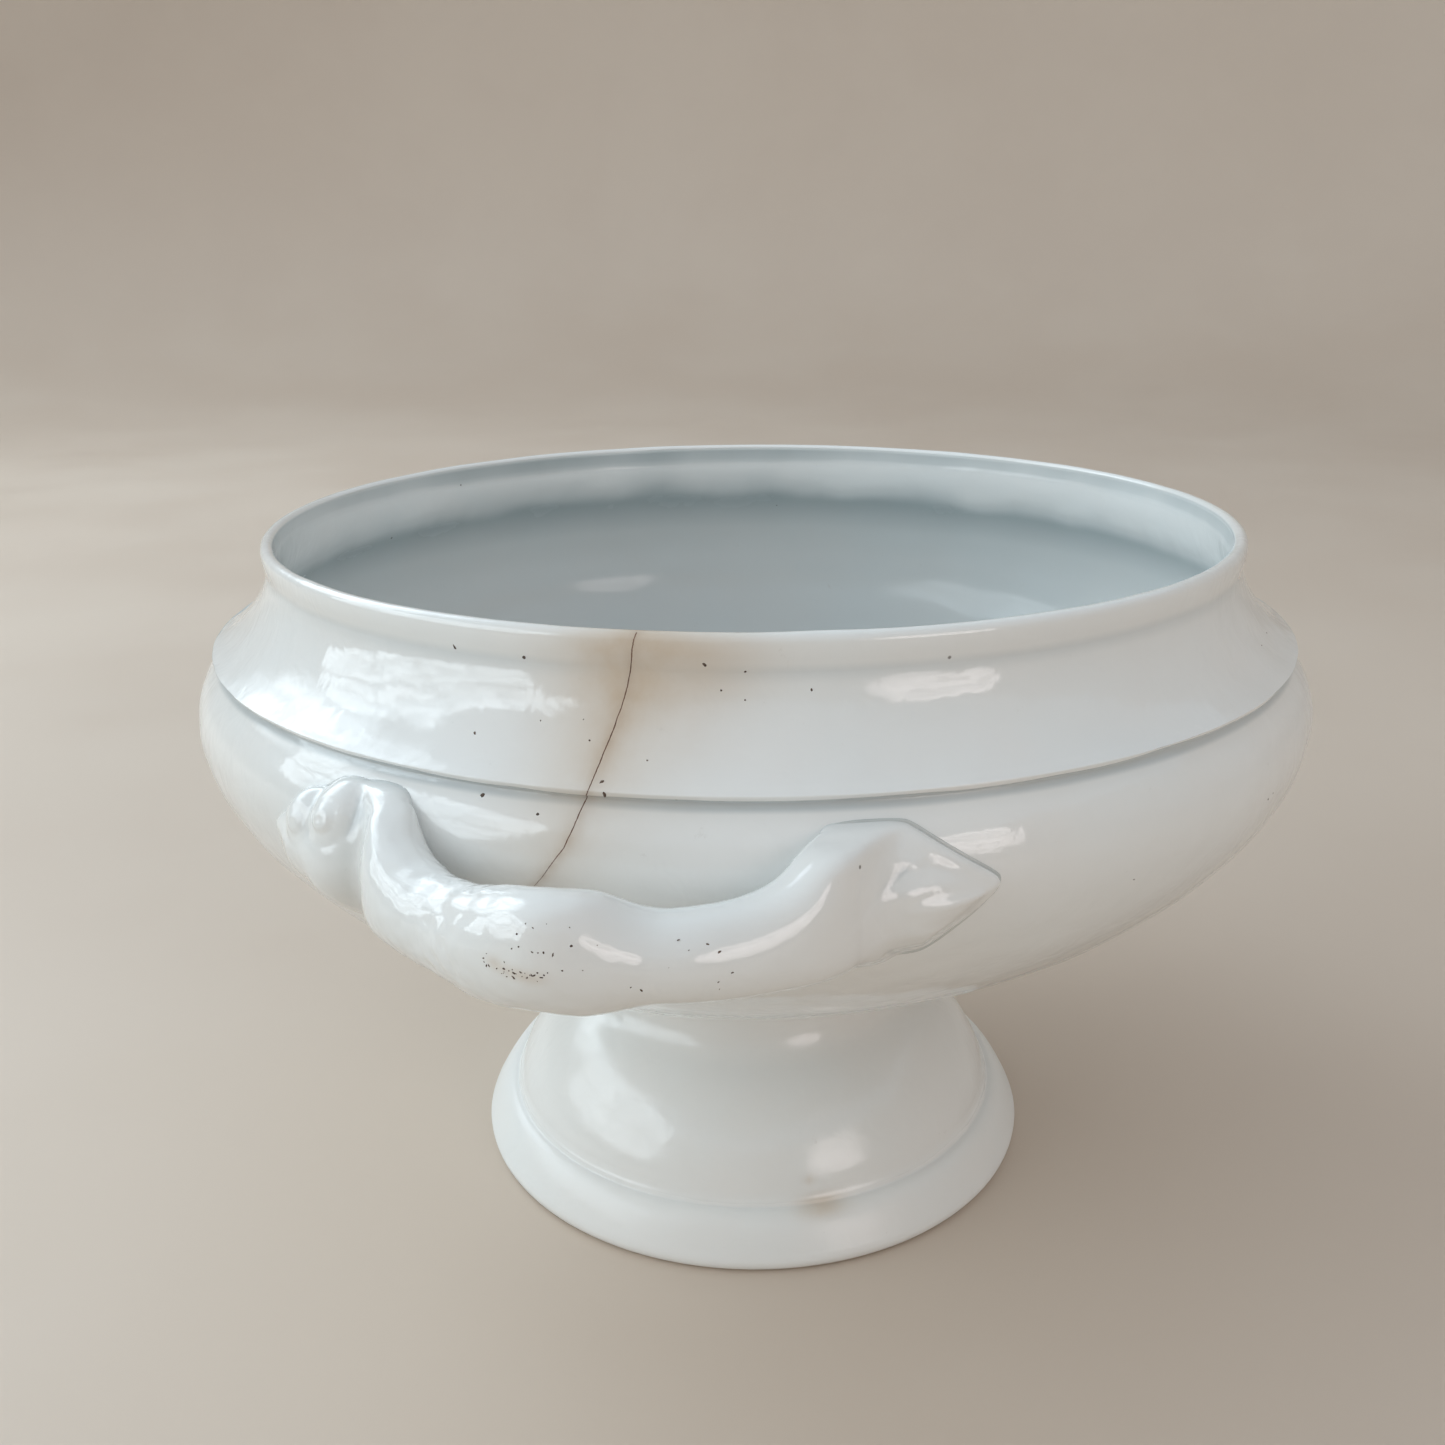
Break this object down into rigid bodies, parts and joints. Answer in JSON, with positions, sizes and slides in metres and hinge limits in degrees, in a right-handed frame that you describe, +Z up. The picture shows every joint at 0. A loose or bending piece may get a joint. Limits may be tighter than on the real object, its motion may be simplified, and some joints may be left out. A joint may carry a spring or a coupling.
{
  "type": "footed serving bowl",
  "caption": "Round glazed porcelain serving bowl with a coved rim, a flared pedestal foot and bar handles on leaf terminals; holds food for the table.",
  "frame": {"origin": "centre of the foot ring's resting plane, on the bowl's axis", "axes": "+Z up along the bowl's axis, +X through the middle of the right handle, +Y across the handles"},
  "size_m": [0.3274, 0.264, 0.1665],
  "materials": {
    "bowl_glaze": "high gloss glaze over white porcelain, faint blue-green tint",
    "foot_glaze": "high gloss glaze, bare biscuit on the resting ring",
    "handle_glaze": "high gloss glaze, thicker in the hollows of the relief",
    "joint_slip": "fired slip under glaze"
  },
  "bodies": {
    "root": {"bowl_body": "bowl_glaze", "pedestal_foot": "foot_glaze", "foot_joint_slip": "joint_slip", "handle_right": "handle_glaze", "handle_left": "handle_glaze", "handle_right_slip_a": "joint_slip", "handle_right_slip_b": "joint_slip", "handle_left_slip_a": "joint_slip", "handle_left_slip_b": "joint_slip"}
  },
  "joints": []
}
